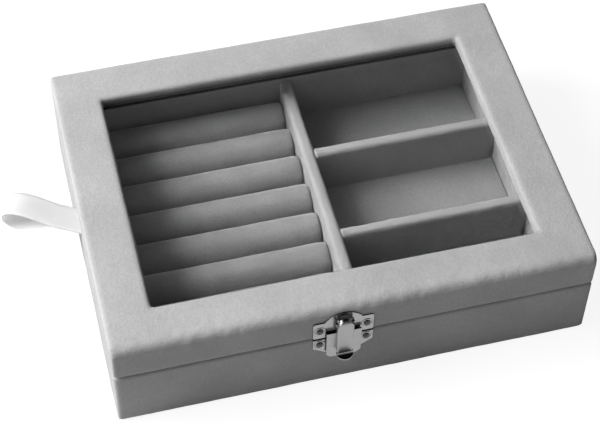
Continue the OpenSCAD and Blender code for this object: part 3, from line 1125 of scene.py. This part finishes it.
@dataclass
class StayRibbon:
    """A satin ribbon from base to lid, folded to a loop outside the wall while the box is shut.

    It is built as a lower layer and an upper one, which meet at the tip.
    """

    width: float = 12 * MM
    thick: float = 0.24 * MM
    root: tuple[float, float, float] = (-100 * MM, 6.5 * MM, 31.6 * MM)
    turn: float = math.radians(180 - 29.3)
    hidden: float = 4 * MM
    hidden_dip: float = 1.8 * MM
    out: float = 32.5 * MM
    knee: float = 0.2
    eye_length: float = 23 * MM
    eye_height: float = 5.92 * MM
    crown: float = 0.35 * MM
    droop: float = 2.2 * MM
    belly: float = 3.2 * MM
    gap: float = 0.2 * MM
    along: int = 60
    across: int = 8

    def middle(self, part: float, side: int) -> tuple[float, float]:
        """A point on the middle line of a layer.

        Args:
            part: 0 at the hidden end and 1 at the tip.
            side: 1 for the upper layer and -1 for the lower one.

        Returns:
            The distance out from the wall and the height above the seam.
        """
        flat = self.out - self.eye_length
        if part < self.knee:
            back = 2 * self.hidden
            return -back + (back + flat) * part / self.knee, side * self.gap
        a = math.pi * (part - self.knee) / (1 - self.knee)
        along = (1 - math.cos(a)) / 2
        opening = along * math.sqrt(along / (along + 0.1))
        swell = self.gap * (1 - along**3) + self.eye_height * math.sin(a) * opening
        sag = self.droop * along**2 + (self.belly * math.sin(a) ** 2 if side < 0 else 0.0)
        return flat + self.eye_length * along, side * swell - sag

    def build(self, finishes: Finishes) -> None:
        """Builds and dresses both layers.

        Args:
            finishes: The shared finishes.
        """
        tip = Vector(self.root) + self.outward() * self.out
        far = Vector(self.root) + self.outward() * 2 * self.out
        layers = (
            ("StayRibbonLower", -1, Vector(self.root), far),
            ("StayRibbonUpper", 1, far, Vector(self.root)),
        )
        for name, side, start, end in layers:
            layer = self.layer(name, side)
            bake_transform(layer)
            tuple(start)
            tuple(end)
            self.length(side)
            paint(layer, finishes.satin)
        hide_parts("stay_ribbon")
        lengths = [self.length(side) / MM for side in (-1, 1)]
        log.info("stay ribbon: layers of %.0f and %.0f mm, tip at x %.1f mm", *lengths, tip.x / MM)

    def outward(self) -> Vector:
        """The way that the loop points, level and away from the wall."""
        return Vector((math.cos(self.turn), math.sin(self.turn), 0))

    def length(self, side: int, part: float = 1.0) -> float:
        """Length of one layer along its middle line.

        Args:
            side: 1 for the upper layer and -1 for the lower one.
            part: Where to stop, from 0 at the hidden end to 1 at the tip.

        Returns:
            The length from the hidden end.
        """
        line = [Vector(self.middle(part * i / 120, side)) for i in range(121)]
        return sum((b - a).length for a, b in zip(line, line[1:]))

    def tuck_end(self, point: Vector, side: int) -> None:
        """Turns a point of the hidden end into the wall, so that none shows when the lid is up.

        Args:
            point: The point, which is moved.
            side: 1 for the upper layer and -1 for the lower one.
        """
        inside = min(point.x - self.root[0], self.hidden)
        if inside > 0:
            point.x = self.root[0] + inside
            point.z += side * self.hidden_dip * (inside / self.hidden) ** 2
            point.z -= side * self.gap * inside / self.hidden

    def layer(self, name: str, side: int) -> bpy.types.Object:
        """Builds one layer of the ribbon.

        Args:
            name: Name of the piece.
            side: 1 for the upper layer and -1 for the lower one.

        Returns:
            The closed strip, with a UV map in metres.
        """
        bpy.ops.object.select_all(action="DESELECT")
        bpy.ops.mesh.primitive_grid_add(x_subdivisions=self.along, y_subdivisions=self.across, size=2)
        strip = bpy.context.active_object
        strip.name = strip.data.name = name
        reach = [self.length(side, i / self.along) for i in range(self.along + 1)]
        for loop in strip.data.loops:
            p = strip.data.vertices[loop.vertex_index].co
            row = round((p.x + 1) / 2 * self.along)
            strip.data.uv_layers[0].data[loop.index].uv = (p.y * self.width / 2, reach[row])
        strip.data.uv_layers[0].name = "UVMap"
        across = Vector((-math.sin(self.turn), math.cos(self.turn), 0))
        for vertex in strip.data.vertices:
            part, place = (vertex.co.x + 1) / 2, vertex.co.y
            out, rise = self.middle(part, side)
            gone = reach[round(part * self.along)] / reach[-1]
            crown = self.crown * (1 - place * place) * math.sin(math.pi * gone)
            vertex.co = (
                Vector(self.root)
                + self.outward() * out
                + across * place * self.width / 2
                + Vector((0, 0, rise + side * crown))
            )
            self.tuck_end(vertex.co, side)
        finish_with(strip, "SOLIDIFY", thickness=self.thick, offset=0)
        focus(strip)
        bpy.ops.object.mode_set(mode="EDIT")
        bpy.ops.mesh.select_all(action="SELECT")
        bpy.ops.mesh.normals_make_consistent(inside=False)
        bpy.ops.object.mode_set(mode="OBJECT")
        bpy.ops.object.shade_smooth()
        return strip


@dataclass
class Hardware:
    """The nickel latch, hinges, pins and nails, which keep their CAD shapes."""

    words: tuple[str, ...] = ("latch", "hinge")

    def build(self, finishes: Finishes) -> None:
        """Dresses every metal node.

        Args:
            finishes: The shared finishes.
        """
        metal = [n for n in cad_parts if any(w in n for w in self.words)]
        for name in metal:
            finish = finishes.nails if "nails" in name else finishes.nickel
            paint(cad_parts[name], finishes.tongue if "tongue" in name else finish)
        log.info("hardware: %d nickel pieces", len(metal))


# Studio


@dataclass
class Studio:
    """A plain pale floor, one large soft lamp at the left and a dim room."""

    camera_place: tuple[float, float, float] = (-123.82 * MM, -447.32 * MM, 605.94 * MM)
    camera_aim: tuple[float, float, float] = (-11.72 * MM, -23.95 * MM, 49.0 * MM)
    camera_roll: float = math.radians(1.016)
    lens: float = 103.513
    sensor: float = 36.0
    floor_size: float = 12.0
    lamp_place: tuple[float, float, float] = (-1.07, 0.25, 0.95)
    lamp_size: float = 0.8
    lamp_watts: float = 28.0
    room_light: tuple[float, float] = (0.05, 0.5)

    def build(self) -> None:
        """Builds the camera, the lamps, the world and the floor."""
        self.camera()
        self.lamp()
        self.world()
        self.floor()
        log.info("studio: camera, lamp, room and floor")

    def camera(self) -> None:
        """Adds the camera at the photograph's viewing angle."""
        data = bpy.data.cameras.new("Camera")
        data.lens, data.sensor_width, data.sensor_fit = self.lens, self.sensor, "HORIZONTAL"
        data.clip_start, data.clip_end = 0.01, 100.0
        camera = bpy.data.objects.new("Camera", data)
        bpy.context.scene.collection.objects.link(camera)
        place, aim = Vector(self.camera_place), Vector(self.camera_aim)
        level = (aim - place).to_track_quat("-Z", "Y")
        camera.location = place
        camera.rotation_mode = "QUATERNION"
        camera.rotation_quaternion = level @ Euler((0, 0, self.camera_roll)).to_quaternion()
        bpy.context.scene.camera = camera

    def lamp(self) -> None:
        """Adds the square soft lamp, which points at the box."""
        data = bpy.data.lights.new("KeyLamp", "AREA")
        data.shape, data.size, data.energy = "SQUARE", self.lamp_size, self.lamp_watts
        lamp = bpy.data.objects.new("KeyLamp", data)
        bpy.context.scene.collection.objects.link(lamp)
        lamp.location = self.lamp_place
        lamp.rotation_euler = (-Vector(self.lamp_place)).to_track_quat("-Z", "Y").to_euler()

    def world(self) -> None:
        """Makes a dim room, paler at the left, whose horizon is seen white as a backdrop."""
        world = bpy.data.worlds.new("Room")
        bpy.context.scene.world = world
        world.use_nodes = True
        tree = world.node_tree
        tree.nodes.clear()
        way = add_node(tree, "TexCoord").outputs["Generated"]
        towards = add_node(
            tree,
            "VectorMath",
            {0: way, 1: Vector((-0.94, 0.1, 0.32)).normalized()},
            operation="DOT_PRODUCT",
        )
        level = add_node(
            tree,
            "MapRange",
            {
                "Value": towards.outputs["Value"],
                "From Min": 0.1,
                "From Max": 1.0,
                "To Min": self.room_light[0],
                "To Max": self.room_light[1],
            },
            interpolation_type="SMOOTHSTEP",
        )
        room = add_node(tree, "Background", {"Color": (1, 1, 1, 1), "Strength": level.outputs["Result"]})
        white = add_node(tree, "Background", {"Color": (1, 1, 1, 1), "Strength": 1.0})
        height = add_node(tree, "SeparateXYZ", {"Vector": way}).outputs["Z"]
        low_down = add_node(
            tree,
            "MapRange",
            {"Value": height, "From Min": 0.3, "From Max": 0.55, "To Min": 1.0, "To Max": 0.0},
            interpolation_type="SMOOTHSTEP",
        )
        seen = self.seen_directly(tree, ("Is Camera Ray", "Is Glossy Ray", "Is Transmission Ray"))
        backdrop = add_node(tree, "Math", {0: seen, 1: low_down.outputs["Result"]}, operation="MULTIPLY")
        mixed = add_node(
            tree,
            "MixShader",
            {0: backdrop.outputs[0], 1: room.outputs["Background"], 2: white.outputs["Background"]},
        )
        add_node(tree, "OutputWorld", {"Surface": mixed.outputs["Shader"]})

    def seen_directly(self, tree: bpy.types.NodeTree, rays: Iterable[str]) -> bpy.types.NodeSocket:
        """Adds a factor that is 1 for some kinds of ray.

        Args:
            tree: The node tree.
            rays: Names of the Light Path outputs.

        Returns:
            The factor's socket.
        """
        path = add_node(tree, "LightPath")
        total = None
        for ray in rays:
            socket = path.outputs[ray]
            if total is not None:
                socket = add_node(tree, "Math", {0: total, 1: socket}, operation="MAXIMUM").outputs[0]
            total = socket
        return total

    def floor(self) -> None:
        """Adds the floor, which the camera sees near white with the box's soft shadow on it."""
        bpy.ops.object.select_all(action="DESELECT")
        bpy.ops.mesh.primitive_plane_add(size=self.floor_size)
        floor = bpy.context.active_object
        floor.name = floor.data.name = "Floor"
        material, tree = empty_material("studio_floor")
        dim = add_node(tree, "BsdfDiffuse", {"Color": linear("#c2c2c2")})
        lit = add_node(tree, "BsdfDiffuse", {"Color": linear("#747474")})
        glow = add_node(tree, "Emission", {"Color": linear("#ffffff"), "Strength": 0.9})
        pale = add_node(tree, "AddShader", {0: lit.outputs[0], 1: glow.outputs[0]})
        seen = self.seen_directly(tree, ("Is Camera Ray", "Is Glossy Ray", "Is Transmission Ray"))
        mixed = add_node(tree, "MixShader", {0: seen, 1: dim.outputs[0], 2: pale.outputs[0]})
        add_node(tree, "OutputMaterial", {"Surface": mixed.outputs["Shader"]})
        floor.data.materials.append(material)


def main() -> None:
    """Builds the studio and every sub-assembly in order."""
    logging.basicConfig(level=logging.INFO, format="%(name)s: %(message)s")
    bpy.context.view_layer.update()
    bpy.context.scene.view_settings.view_transform = "Standard"
    Studio().build()
    finishes = Finishes.make()
    BaseShell().build(finishes)
    Lid().build(finishes)
    Tray().build(finishes)
    RingRolls().build(finishes)
    StayRibbon().build(finishes)
    Hardware().build(finishes)


if __name__ == "__main__":
    main()
